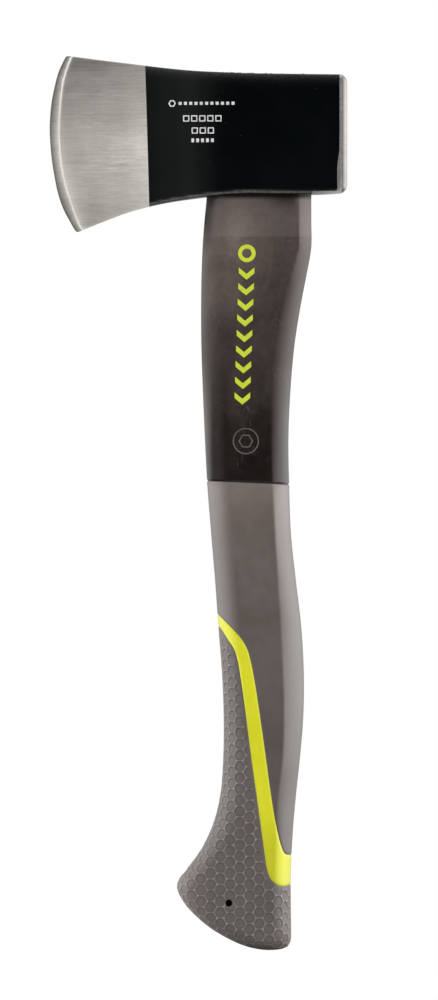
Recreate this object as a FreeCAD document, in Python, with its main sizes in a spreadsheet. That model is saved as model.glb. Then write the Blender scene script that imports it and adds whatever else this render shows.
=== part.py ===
"""A 14-inch hatchet: a forged steel head bonded to a moulded handle with a fibreglass core.

Frame: +Z runs up the handle to the top of the head, +X towards the poll (the bit is at -X),
and Y is the thickness. The origin is the middle of the eye on the head's underside.
All lengths are millimetres.
"""
import FreeCAD
import Part
import Sketcher
import os
from FreeCAD import Placement, Rotation, Vector

DOC = FreeCAD.newDocument("hatchet")

# ---------------------------------------------------------------- driving dimensions

SIZES = [
    ("head_thickness", 25.0, "cheek to cheek over the eye"),
    ("poll_x", 35.0, "poll face from the middle of the eye"),
    ("head_top", 47.5, "top of the poll above the underside"),
    ("poll_radius", 3.2, "rounding of the poll's corners seen from the side"),
    ("poll_edge_radius", 3.2, "rounding between poll face and cheek"),
    ("taper_start_x", -14.0, "where the cheeks start to taper to the bit"),
    ("bevel_half", 1.15, "half thickness where the ground bevel starts"),
    ("edge_half", 0.1, "half thickness of the cutting edge"),
    ("eye_length_low", 38.0, "eye at the underside, along X"),
    ("eye_width_low", 15.0, "eye at the underside, along Y"),
    ("eye_length_high", 41.0, "eye at the top, along X"),
    ("eye_width_high", 17.0, "eye at the top, along Y"),
    ("epoxy_gap", 0.8, "bond line between eye and tenon"),
    ("epoxy_top", 46.9, "level of the epoxy pool"),
    ("tenon_top", 44.8, "end of the tenon inside the eye"),
    ("rod_diameter", 12.0, "fibreglass core"),
    ("rod_x", -0.5, "axis of the core"),
    ("rod_top", 47.1, "core end in the eye"),
    ("rod_bottom", -262.0, "core end in the grip"),
    ("skin", 3.0, "thickness of the soft overmould"),
    ("spine_bottom", -272.0, "end of the jacket inside the grip"),
    ("seam_front_z", -114.0, "front end of the seam between jacket and sleeve"),
    ("seam_back_z", -115.4, "back end of that seam"),
    ("hang_hole_diameter", 2.8, "hang hole through the butt"),
    ("hang_hole_x", -12.0, "hang hole centre"),
    ("hang_hole_z", -281.7, "hang hole centre"),
]

SHEET = DOC.addObject("Spreadsheet::Sheet", "sizes")
for row, (alias, value, note) in enumerate(SIZES, start=1):
    SHEET.set(f"A{row}", note)
    SHEET.set(f"B{row}", str(value))
    SHEET.setAlias(f"B{row}", alias)
DOC.recompute()


def size(alias):
    """A driving dimension, read from the sheet."""
    return float(getattr(SHEET, alias))


# ---------------------------------------------------------------- outlines, as (x, z) points

# Cutting edge and the inner line of its ground bevel, from above the toe to below the heel.
# Both run past the head, which trims them.
EDGE_LINE = [(-73.2, 62.0), (-80.0, 47.6), (-83.4, 27.0), (-82.4, 12.6), (-77.6, -6.7), (-68.0, -23.0)]
BEVEL_LINE = [(-71.2, 61.4), (-77.3, 46.8), (-79.4, 27.0), (-78.6, 13.0), (-74.1, -5.2), (-66.3, -21.9)]

# Top of the head between the toe and the poll's rounding.
HEAD_TOP_LINE = [(-61.0, 53.1), (-45.0, 51.1), (-26.0, 49.0), (-4.0, 48.0)]

# Half thickness of the head from the start of its taper (0) to the bevel line (1).
CHEEK_TAPER = [(-0.12, 13.1), (0.0, 12.6), (0.15, 10.9), (0.3, 8.3), (0.48, 5.6), (0.72, 3.3), (1.0, 1.15)]

# Handle stations from the eye down to the butt:
# z, front x, back x, half thickness, length of the front nose, length of the back facet
STATIONS = [
    (12.0, -20.6, 20.8, 11.4, 8.0, 5.0),
    (0.0, -20.8, 20.8, 11.4, 8.0, 5.0),
    (-11.0, -21.8, 20.8, 11.5, 8.0, 5.0),
    (-21.0, -22.5, 20.8, 11.5, 8.3, 5.1),
    (-31.0, -22.9, 19.1, 11.5, 8.7, 5.3),
    (-44.0, -23.1, 16.6, 11.4, 9.0, 5.6),
    (-60.0, -23.0, 14.1, 11.2, 9.0, 6.0),
    (-78.0, -22.4, 12.5, 11.0, 9.0, 6.0),
    (-97.0, -21.6, 11.7, 10.9, 9.0, 6.0),
    (-116.0, -20.6, 12.0, 11.0, 9.5, 6.2),
    (-135.0, -19.1, 12.7, 11.2, 9.5, 6.6),
    (-154.0, -17.5, 14.7, 11.5, 9.5, 7.2),
    (-172.0, -16.2, 16.8, 11.8, 9.5, 8.0),
    (-190.0, -14.8, 17.8, 12.1, 9.5, 8.4),
    (-208.0, -14.1, 17.6, 12.4, 9.5, 8.4),
    (-225.0, -14.3, 16.2, 12.7, 9.5, 8.0),
    (-239.0, -15.4, 14.7, 12.9, 9.5, 7.5),
    (-250.0, -18.1, 13.7, 13.0, 9.5, 7.0),
    (-259.0, -22.1, 13.1, 13.0, 9.5, 6.5),
    (-267.0, -27.4, 12.6, 13.0, 9.5, 6.5),
    (-275.0, -33.2, 12.6, 13.0, 9.5, 6.5),
    (-284.0, -36.0, 12.7, 13.0, 9.5, 6.5),
    (-294.0, -36.5, 12.7, 13.0, 9.5, 6.5),
    (-306.0, -36.5, 12.7, 13.0, 9.5, 6.5),
]

# Lime band: its upper and lower lines from the front of the handle to the back.
BAND_UPPER = [
    (-60.0, -121.6), (-16.4, -167.3), (-7.0, -177.2), (-4.4, -182.0), (-3.3, -187.0),
    (2.6, -222.1), (3.6, -234.0), (8.4, -257.5), (10.4, -262.6), (60.0, -262.6),
]
BAND_LOWER = [
    (-60.0, -126.0), (-15.9, -172.1), (-10.4, -178.9), (-8.6, -183.4), (-7.9, -188.3),
    (-2.0, -233.0), (-0.2, -243.8), (3.3, -268.2), (4.9, -272.3), (8.6, -274.7), (60.0, -274.7),
]

# How far the cutting prisms reach: past the handle in X, and past everything in Y.
REACH = 60.0
PRISM_HALF_DEPTH = 40.0
BEZIER_QUARTER = 0.5523


def point(x, z, y=0.0):
    return Vector(x, y, z)


def spline(points, y=0.0):
    """A smooth curve through (x, z) points, in the plane at y."""
    curve = Part.BSplineCurve()
    curve.interpolate([point(x, z, y) for x, z in points])
    return curve.toShape()


def line(start, end):
    return Part.makeLine(point(*start), point(*end))


def arc(start, middle, end):
    return Part.Arc(point(*start), point(*middle), point(*end)).toShape()


def bezier(poles):
    curve = Part.BezierCurve()
    curve.setPoles(poles)
    return curve.toShape()


def outline_face(edges):
    return Part.Face(Part.Wire(edges))


def polygon_face(points):
    corners = [point(x, z) for x, z in points]
    return Part.Face(Part.makePolygon(corners + corners[:1]))


def feature(name, shape):
    made = DOC.addObject("Part::Feature", name)
    made.Shape = shape
    return made


def extrusion(name, base, direction, length_cell, symmetric=True):
    """An extrusion whose length is a cell of the sheet."""
    made = DOC.addObject("Part::Extrusion", name)
    made.Base = base
    made.DirMode = "Custom"
    made.Dir = direction
    made.Symmetric = symmetric
    made.Solid = True
    made.setExpression("LengthFwd", length_cell)
    return made


def boolean(kind, name, base, tool):
    made = DOC.addObject(f"Part::{kind}", name)
    made.Base = base
    made.Tool = tool
    return made


def many(kind, name, shapes):
    made = DOC.addObject(f"Part::{kind}", name)
    made.Shapes = shapes
    return made


# ---------------------------------------------------------------- head


def head_side_outline():
    """The head seen from the side, clockwise from the toe."""
    poll = size("poll_x")
    top = size("head_top")
    round_off = size("poll_radius")
    bow = round_off * (1 - 0.5 ** 0.5)
    toe_on_edge = (-77.4, 54.0)
    toe_on_top = (-75.8, 55.1)
    heel_on_underside = (-71.6, -14.8)
    heel_on_edge = (-73.3, -14.2)
    flat_end = (-8.0, 0.0)
    lift = 0.5
    return outline_face([
        spline([toe_on_top] + HEAD_TOP_LINE + [(poll - round_off, top)]),
        arc((poll - round_off, top), (poll - bow, top - bow), (poll, top - round_off)),
        line((poll, top - round_off), (poll, lift + round_off)),
        arc((poll, lift + round_off), (poll - bow, lift + bow), (poll - round_off, lift)),
        line((poll - round_off, lift), (24.0, 0.0)),
        line((24.0, 0.0), flat_end),
        spline([flat_end, (-22.6, -1.2), (-38.5, -3.7), (-51.2, -6.9), (-64.0, -11.7), heel_on_underside]),
        arc(heel_on_underside, (-72.7, -15.0), heel_on_edge),
        spline([heel_on_edge, (-79.5, -1.6), (-83.4, 24.5), (-81.5, 41.8), toe_on_edge]),
        arc(toe_on_edge, (-76.8, 54.9), toe_on_top),
    ])


def head_plan_outline():
    """The head seen from above before its taper is cut: a bar with the poll's two edges rounded."""
    half = size("head_thickness") / 2
    poll = size("poll_x")
    radius = size("poll_edge_radius")
    bow = radius * (1 - 0.5 ** 0.5)
    low = -30.0

    def at(x, y):
        return Vector(x, y, low)

    front = -95.0
    edges = [
        Part.makeLine(at(front, -half), at(poll - radius, -half)),
        Part.Arc(at(poll - radius, -half), at(poll - bow, -half + bow), at(poll, -half + radius)).toShape(),
        Part.makeLine(at(poll, -half + radius), at(poll, half - radius)),
        Part.Arc(at(poll, half - radius), at(poll - bow, half - bow), at(poll - radius, half)).toShape(),
        Part.makeLine(at(poll - radius, half), at(front, half)),
        Part.makeLine(at(front, half), at(front, -half)),
    ]
    return outline_face(edges)


def outside_of(surface, side):
    """The solid outside a cheek or bevel surface, on the +Y (1) or -Y (-1) side."""
    solid = surface.extrude(Vector(0, PRISM_HALF_DEPTH, 0))
    if side < 0:
        solid = solid.mirror(Vector(0, 0, 0), Vector(0, 1, 0))
    return solid


def cheek_surface():
    """The +Y cheek of the blade: upright at the eye, fanning out to the curved bevel line."""
    start = size("taper_start_x")
    sections = []
    for share, half in CHEEK_TAPER + [(1.04, 0.9)]:
        curve = [(start + (x - start) * share, z) for x, z in BEVEL_LINE]
        sections.append(Part.Wire(spline(curve, half)))
    return Part.makeLoft(sections, False, False).Faces[0]


def bevel_surface():
    """The +Y ground bevel, ruled from inside its inner line to outside the cutting edge."""
    slope = size("bevel_half") - size("edge_half")
    inside = 1.5
    outside = -0.5
    sections = []
    for share in (inside, outside):
        curve = [
            (ex + (bx - ex) * share, ez + (bz - ez) * share)
            for (ex, ez), (bx, bz) in zip(EDGE_LINE, BEVEL_LINE, strict=True)
        ]
        sections.append(Part.Wire(spline(curve, size("edge_half") + slope * share)))
    return Part.makeLoft(sections, False, True).Faces[0]


def slot_wire(length, width, z):
    """A slot with round ends, along X, at height z."""
    half = width / 2
    reach = (length - width) / 2
    return Part.Wire([
        Part.makeLine(Vector(-reach, -half, z), Vector(reach, -half, z)),
        Part.Arc(Vector(reach, -half, z), Vector(reach + half, 0, z), Vector(reach, half, z)).toShape(),
        Part.makeLine(Vector(reach, half, z), Vector(-reach, half, z)),
        Part.Arc(Vector(-reach, half, z), Vector(-reach - half, 0, z), Vector(-reach, -half, z)).toShape(),
    ])


def tapered_plug(inset, bottom, top):
    """The eye's tapered shape between two heights, made smaller all round by inset."""
    low_length = size("eye_length_low")
    low_width = size("eye_width_low")
    high_length = size("eye_length_high")
    high_width = size("eye_width_high")
    span = size("head_top")

    def wire(z):
        share = z / span
        length = low_length + (high_length - low_length) * share - 2 * inset
        width = low_width + (high_width - low_width) * share - 2 * inset
        return slot_wire(length, width, z)

    return Part.makeLoft([wire(bottom), wire(top)], True, True)


head_profile = feature("head_profile", head_side_outline())
head_slab = extrusion("head_slab", head_profile, Vector(0, 1, 0), "(sizes.head_thickness + 10) * 1 mm")
head_plan = feature("head_plan", head_plan_outline())
head_bar = extrusion("head_bar", head_plan, Vector(0, 0, 1), "(sizes.head_top + 50) * 1 mm", symmetric=False)
head_blank = boolean("Common", "head_blank", head_slab, head_bar)

cheek = cheek_surface()
bevel = bevel_surface()
grinds = [
    feature("right_cheek_grind", outside_of(cheek, 1)),
    feature("left_cheek_grind", outside_of(cheek, -1)),
    feature("right_bevel_grind", outside_of(bevel, 1)),
    feature("left_bevel_grind", outside_of(bevel, -1)),
]
eye_cavity = feature("eye_cavity", tapered_plug(0.0, -10.0, 60.0))
ground_head = head_blank
for grind in grinds:
    ground_head = boolean("Cut", f"after_{grind.Name}", ground_head, grind)
axe_head = boolean("Cut", "axe_head", ground_head, eye_cavity)

# ---------------------------------------------------------------- handle envelope


def handle_section(station, inset):
    """One level of the handle: flat sides, a round nose in front and a creased facet behind."""
    z, front, back, half, nose, facet = station
    front += inset
    back -= inset
    half -= inset
    nose -= inset * 0.7
    facet -= inset * 0.4
    tip = Vector(front, 0, z)
    heel = Vector(back, 0, z)

    def side(sign):
        shoulder = Vector(front + nose, sign * half, z)
        crease = Vector(back - facet, sign * half, z)
        nose_poles = [
            tip,
            tip + Vector(0, sign * half * BEZIER_QUARTER, 0),
            shoulder - Vector(nose * BEZIER_QUARTER, 0, 0),
            shoulder,
        ]
        facet_poles = [
            crease,
            crease + Vector(facet * 0.5, -sign * half * 0.2, 0),
            heel + Vector(0, sign * half * 0.45, 0),
            heel,
        ]
        return bezier(nose_poles), Part.makeLine(shoulder, crease), bezier(facet_poles)

    right = side(1)
    left = side(-1)
    left_back_to_front = [edge.reversed() for edge in reversed(left)]
    return Part.Wire(list(right) + left_back_to_front)


def handle_envelope(inset):
    return Part.makeLoft([handle_section(station, inset) for station in STATIONS], True, False, False, 3)


def prism(name, face):
    """A prism through the whole depth in Y, from a face in the plane of X and Z."""
    start = face.translated(Vector(0, -PRISM_HALF_DEPTH, 0))
    return feature(name, start.extrude(Vector(0, 2 * PRISM_HALF_DEPTH, 0)))


def butt_bottom_outline():
    """What the butt's bottom edge cuts away: everything below its curve."""
    tip_top = (-40.0, -271.0)
    return outline_face([
        line((-60.0, -271.0), tip_top),
        line(tip_top, (-33.0, -273.6)),
        arc((-33.0, -273.6), (-32.9, -276.4), (-31.4, -279.5)),
        spline([(-31.4, -279.5), (-25.2, -287.1), (-11.3, -296.6), (3.0, -300.7), (10.2, -300.0)]),
        arc((10.2, -300.0), (12.2, -298.9), (13.2, -296.6)),
        line((13.2, -296.6), (60.0, -290.0)),
        line((60.0, -290.0), (60.0, -340.0)),
        line((60.0, -340.0), (-60.0, -340.0)),
        line((-60.0, -340.0), (-60.0, -271.0)),
    ])


def seam_z(x):
    """Height of the seam at x, on its straight slanting line."""
    front_x = -20.7
    back_x = 12.0
    share = (x - front_x) / (back_x - front_x)
    return size("seam_front_z") + (size("seam_back_z") - size("seam_front_z")) * share


def level_slab(bottom, top):
    """Everything between two heights."""
    return polygon_face([(-REACH, bottom), (REACH, bottom), (REACH, top), (-REACH, top)])


SEAM = [(-REACH, seam_z(-REACH)), (REACH, seam_z(REACH))]

outer = feature("handle_outer", handle_envelope(0.0))
butt_cutter = prism("butt_cutter", butt_bottom_outline())
handle_outer = boolean("Cut", "handle_trimmed", outer, butt_cutter)
handle_inner = feature("handle_inner", handle_envelope(size("skin")))

over_head = 40.0
under_butt = -330.0
above_seam = prism("above_seam", polygon_face(SEAM + [(REACH, over_head), (-REACH, over_head)]))
sleeve_zone = prism("sleeve_zone", polygon_face(SEAM[::-1] + BAND_UPPER))
band_zone = prism("band_zone", polygon_face(BAND_UPPER + BAND_LOWER[::-1]))
grip_zone = prism("grip_zone", polygon_face(BAND_LOWER + [(REACH, under_butt), (-REACH, under_butt)]))

# The hidden spine starts inside the neck, so the jacket is one solid.
spine_top = -60.0
spine_zone = prism("spine_zone", level_slab(size("spine_bottom"), spine_top))
spine = boolean("Common", "spine", handle_inner, spine_zone)

# ---------------------------------------------------------------- core rod

core_rod = DOC.addObject("PartDesign::Body", "core_rod")
ground_plane = next(f for f in core_rod.Origin.OriginFeatures if f.Role == "XY_Plane")
rod_section = core_rod.newObject("Sketcher::SketchObject", "rod_section")
rod_section.AttachmentSupport = [(ground_plane, "")]
rod_section.MapMode = "FlatFace"
rod_section.setExpression("AttachmentOffset.Base.z", "sizes.rod_bottom * 1 mm")
CIRCLE, CENTRE, X_AXIS = 0, 3, -1
rod_section.addGeometry(Part.Circle(point(size("rod_x"), 0), Vector(0, 0, 1), size("rod_diameter") / 2))
rod_width = rod_section.addConstraint(Sketcher.Constraint("Diameter", CIRCLE, size("rod_diameter")))
rod_offset = Sketcher.Constraint("DistanceX", X_AXIS, 1, CIRCLE, CENTRE, size("rod_x"))
rod_place = rod_section.addConstraint(rod_offset)
rod_section.addConstraint(Sketcher.Constraint("PointOnObject", CIRCLE, CENTRE, X_AXIS))
rod_section.setExpression(f"Constraints[{rod_width}]", "sizes.rod_diameter * 1 mm")
rod_section.setExpression(f"Constraints[{rod_place}]", "sizes.rod_x * 1 mm")
rod_pad = core_rod.newObject("PartDesign::Pad", "rod_pad")
rod_pad.Profile = rod_section
rod_pad.setExpression("Length", "(sizes.rod_top - sizes.rod_bottom) * 1 mm")
DOC.recompute()

# ---------------------------------------------------------------- jacket and epoxy

gap = size("epoxy_gap")
tenon_root = -8.0
tenon = feature("tenon", tapered_plug(gap, tenon_root, size("tenon_top")))
neck_in_zone = boolean("Common", "neck_in_zone", handle_outer, above_seam)
head_depth = prism("head_depth", head_profile.Shape)
neck = boolean("Cut", "neck", neck_in_zone, head_depth)
jacket_solid = many("MultiFuse", "jacket_solid", [neck, spine, tenon])
handle_body = boolean("Cut", "handle_body", jacket_solid, core_rod)

pool_level = prism("pool_level", level_slab(tenon_root, size("epoxy_top")))
eye_room = boolean("Common", "eye_room", eye_cavity, head_depth)
eye_fill = boolean("Common", "eye_fill", eye_room, pool_level)
ring = boolean("Cut", "epoxy_ring", eye_fill, tenon)
eye_epoxy = boolean("Cut", "eye_epoxy", ring, core_rod)

# ---------------------------------------------------------------- overmould

hang_hole = DOC.addObject("Part::Cylinder", "hang_hole")
hang_hole.setExpression("Radius", "sizes.hang_hole_diameter / 2 * 1 mm")
hang_hole.Height = 2 * PRISM_HALF_DEPTH
hang_hole.Placement = Placement(
    point(size("hang_hole_x"), size("hang_hole_z"), PRISM_HALF_DEPTH), Rotation(Vector(1, 0, 0), 90))


def overmould(name, zone):
    """One piece of the soft skin: the handle's outside within a zone, less the spine."""
    part_of_handle = boolean("Common", f"{name}_blank", handle_outer, zone)
    return boolean("Cut", f"{name}_shell", part_of_handle, spine)


smooth_sleeve = overmould("smooth_sleeve", sleeve_zone)
accent_band = overmould("accent_band", band_zone)
textured_grip = boolean("Cut", "grip_bored", overmould("textured_grip", grip_zone), hang_hole)
DOC.recompute()

NODES = {
    "axe_head": axe_head,
    "core_rod": core_rod,
    "handle_body": handle_body,
    "eye_epoxy": eye_epoxy,
    "smooth_sleeve": smooth_sleeve,
    "accent_band": accent_band,
    "textured_grip": textured_grip,
}

# ---------------------------------------------------------------- checks and export

for made in DOC.Objects:
    if "Invalid" in made.State or "Error" in made.State:
        raise RuntimeError(f"{made.Name} failed: {made.State}")

os.makedirs("parts", exist_ok=True)
for node, made in NODES.items():
    made.Label = node
    shape = made.Shape
    if shape.isNull() or not shape.isValid():
        raise RuntimeError(f"{node} has no valid shape")
    print(f"{node:14s} solids {len(shape.Solids)} volume {shape.Volume / 1000:8.2f} cm3")
    shape.exportStep(f"parts/{node}.step")
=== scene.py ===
"""Looks of the hatchet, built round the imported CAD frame.

Lengths in the tables below are millimetres in the CAD frame; MM turns them into metres.
Every big piece is a "pillow": a flat sheet in X and Z, wrapped round its rim and mirrored in Y.
"""
import math
import bmesh
import bpy
import numpy as np
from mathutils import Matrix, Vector


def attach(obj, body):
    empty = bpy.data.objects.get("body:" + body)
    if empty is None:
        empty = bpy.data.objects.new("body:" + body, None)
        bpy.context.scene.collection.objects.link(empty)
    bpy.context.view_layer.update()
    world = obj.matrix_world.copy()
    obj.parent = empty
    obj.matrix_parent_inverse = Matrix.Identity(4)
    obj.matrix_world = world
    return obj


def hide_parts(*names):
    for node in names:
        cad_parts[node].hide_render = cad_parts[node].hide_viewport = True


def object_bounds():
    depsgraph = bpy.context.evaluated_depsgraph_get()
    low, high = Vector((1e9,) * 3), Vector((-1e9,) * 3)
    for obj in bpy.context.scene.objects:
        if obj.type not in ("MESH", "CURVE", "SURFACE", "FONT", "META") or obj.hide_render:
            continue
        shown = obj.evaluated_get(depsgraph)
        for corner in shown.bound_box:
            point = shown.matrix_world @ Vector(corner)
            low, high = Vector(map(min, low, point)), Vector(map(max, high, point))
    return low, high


MM = 0.001
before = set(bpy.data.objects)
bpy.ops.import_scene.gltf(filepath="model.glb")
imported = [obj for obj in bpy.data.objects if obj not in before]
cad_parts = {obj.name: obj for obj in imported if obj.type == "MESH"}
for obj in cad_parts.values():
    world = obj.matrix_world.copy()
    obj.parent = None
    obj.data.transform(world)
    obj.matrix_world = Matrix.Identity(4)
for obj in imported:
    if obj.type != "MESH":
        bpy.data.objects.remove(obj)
CAD_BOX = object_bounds()

# ---------------------------------------------------------------- curves in the X, Z plane


def smooth_line(points, step):
    """A Catmull-Rom line through (x, z) points, sampled about every step mm."""
    pts = np.array(points, float)
    before = 2 * pts[0] - pts[1]
    after = 2 * pts[-1] - pts[-2]
    pts = np.vstack([before, pts, after])
    out = []
    for i in range(1, len(pts) - 2):
        p0, p1, p2, p3 = pts[i - 1:i + 3]
        knots = [0.0]
        for a, b in ((p0, p1), (p1, p2), (p2, p3)):
            knots.append(knots[-1] + max(np.linalg.norm(b - a), 1e-6) ** 0.5)
        t0, t1, t2, t3 = knots
        count = max(2, int(np.ceil(np.linalg.norm(p2 - p1) / step)))
        t = np.linspace(t1, t2, count, endpoint=False)[:, None]
        a1 = (t1 - t) / (t1 - t0) * p0 + (t - t0) / (t1 - t0) * p1
        a2 = (t2 - t) / (t2 - t1) * p1 + (t - t1) / (t2 - t1) * p2
        a3 = (t3 - t) / (t3 - t2) * p2 + (t - t2) / (t3 - t2) * p3
        b1 = (t2 - t) / (t2 - t0) * a1 + (t - t0) / (t2 - t0) * a2
        b2 = (t3 - t) / (t3 - t1) * a2 + (t - t1) / (t3 - t1) * a3
        out.append((t2 - t) / (t2 - t1) * b1 + (t - t1) / (t2 - t1) * b2)
    out.append(pts[-2:-1])
    return np.vstack(out)


def nearest_on(line, points, values=None, chunk=4000):
    """For each point: the nearest point of a polyline, its distance, and values carried along the line."""
    a, b = line[:-1], line[1:]
    d = b - a
    length2 = np.maximum((d * d).sum(1), 1e-12)
    a_d, a_a = (a * d).sum(1), (a * a).sum(1)
    best = np.empty(len(points), int)
    for i in range(0, len(points), chunk):
        p = points[i:i + chunk]
        along = p @ d.T - a_d
        t = np.clip(along / length2, 0, 1)
        gap = a_a - 2 * (p @ a.T) - t * (2 * along - t * length2)
        best[i:i + chunk] = gap.argmin(1)
    start, step = a[best], d[best]
    t = np.clip(((points - start) * step).sum(1) / length2[best], 0, 1)[:, None]
    near = start + t * step
    carried = None if values is None else values[:-1][best] * (1 - t) + values[1:][best] * t
    return near, np.linalg.norm(points - near, axis=1), carried


def inside(loop, points, chunk=4000):
    """Which points lie inside a closed polygon."""
    a = loop
    b = np.roll(loop, -1, axis=0)
    out = np.zeros(len(points), bool)
    for i in range(0, len(points), chunk):
        x = points[i:i + chunk, 0:1]
        z = points[i:i + chunk, 1:2]
        straddles = (a[:, 1] > z) != (b[:, 1] > z)
        rise = np.where(np.abs(b[:, 1] - a[:, 1]) < 1e-12, 1e-12, b[:, 1] - a[:, 1])
        crossing = a[:, 0] + (z - a[:, 1]) * (b[:, 0] - a[:, 0]) / rise
        out[i:i + chunk] = (straddles & (x < crossing)).sum(1) % 2 == 1
    return out


def ray_to(loop, origins, directions, chunk=3000):
    """How far each ray runs before it leaves a closed polygon."""
    a = loop
    d = np.roll(loop, -1, axis=0) - a
    out = np.empty(len(origins))
    for i in range(0, len(origins), chunk):
        o = origins[i:i + chunk, None, :]
        n = directions[i:i + chunk, None, :]
        cross = n[..., 0] * d[:, 1] - n[..., 1] * d[:, 0]
        cross = np.where(np.abs(cross) < 1e-12, 1e-12, cross)
        w = a - o
        t = (w[..., 0] * d[:, 1] - w[..., 1] * d[:, 0]) / cross
        u = (w[..., 0] * n[..., 1] - w[..., 1] * n[..., 0]) / cross
        t = np.where((u >= -1e-9) & (u <= 1 + 1e-9) & (t > 0), t, np.inf)
        out[i:i + chunk] = t.min(1)
    return out


# ---------------------------------------------------------------- flat sheets


class Sheet:
    """A flat mesh in unrolled (x, z) coordinates, with a label on each face."""

    def __init__(self, low, high, step):
        self.step = np.array(step, float)
        count = np.maximum(np.ceil((np.array(high) - low) / self.step).astype(int), 1)
        xs = low[0] + np.arange(count[0] + 1) * self.step[0]
        zs = low[1] + np.arange(count[1] + 1) * self.step[1]
        gx, gz = np.meshgrid(xs, zs, indexing="ij")
        self.points = np.column_stack([gx.ravel(), gz.ravel()])
        i, j = np.meshgrid(np.arange(count[0]), np.arange(count[1]), indexing="ij")
        row = count[1] + 1
        base = (i * row + j).ravel()
        self.faces = np.column_stack([base, base + row, base + row + 1, base + 1]).tolist()
        self.labels = [frozenset()] * len(self.faces)
        self.spots = np.empty((0, 3))
        self.left = np.empty(0)

    def placed(self, pillow):
        """3-D places of all points, and what is left of the rim; only new points are worked out."""
        done = len(self.spots)
        if done < len(self.points):
            spots, left = pillow.place(self.points[done:])
            self.spots = np.vstack([self.spots, spots])
            self.left = np.concatenate([self.left, left])
        return self.spots, self.left

    def split(self, values, name, keep_only=False):
        """Cuts the faces along values = 0. Faces on the positive side get the label name."""
        values = np.where(np.abs(values) < 1e-7, 1e-7, values)
        positive = values > 0
        extra = []
        at = {}
        faces, labels = [], []
        count = len(self.points)
        for face, label in zip(self.faces, self.labels):
            flags = positive[face]
            if flags.all():
                faces.append(face)
                labels.append(label | {name})
                continue
            if not flags.any():
                if not keep_only:
                    faces.append(face)
                    labels.append(label)
                continue
            rings = {True: [], False: []}
            for a, b in zip(face, face[1:] + face[:1]):
                side = bool(positive[a])
                rings[side].append(a)
                if positive[b] != side:
                    key = (a, b) if a < b else (b, a)
                    if key not in at:
                        t = values[a] / (values[a] - values[b])
                        at[key] = count + len(extra)
                        extra.append(self.points[a] + (self.points[b] - self.points[a]) * t)
                    rings[True].append(at[key])
                    rings[False].append(at[key])
            faces.append(rings[True])
            labels.append(label | {name})
            if not keep_only:
                faces.append(rings[False])
                labels.append(label)
        if extra:
            self.points = np.vstack([self.points, extra])
        self.faces, self.labels = faces, labels

    def drop_unused(self):
        """Leaves out the points that no face uses."""
        used = np.unique(np.concatenate([np.asarray(f) for f in self.faces]))
        renumber = np.full(len(self.points), -1)
        renumber[used] = np.arange(len(used))
        self.points = self.points[used]
        self.spots = self.spots[used]
        self.left = self.left[used]
        self.faces = [renumber[f].tolist() for f in self.faces]


# ---------------------------------------------------------------- pillow: a sheet wrapped round its rim


FAR = 99.0
ON_PARTING = 1e-3
CIRCLE = 0.5523  # a Bezier handle's share of the radius in a quarter circle


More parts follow.
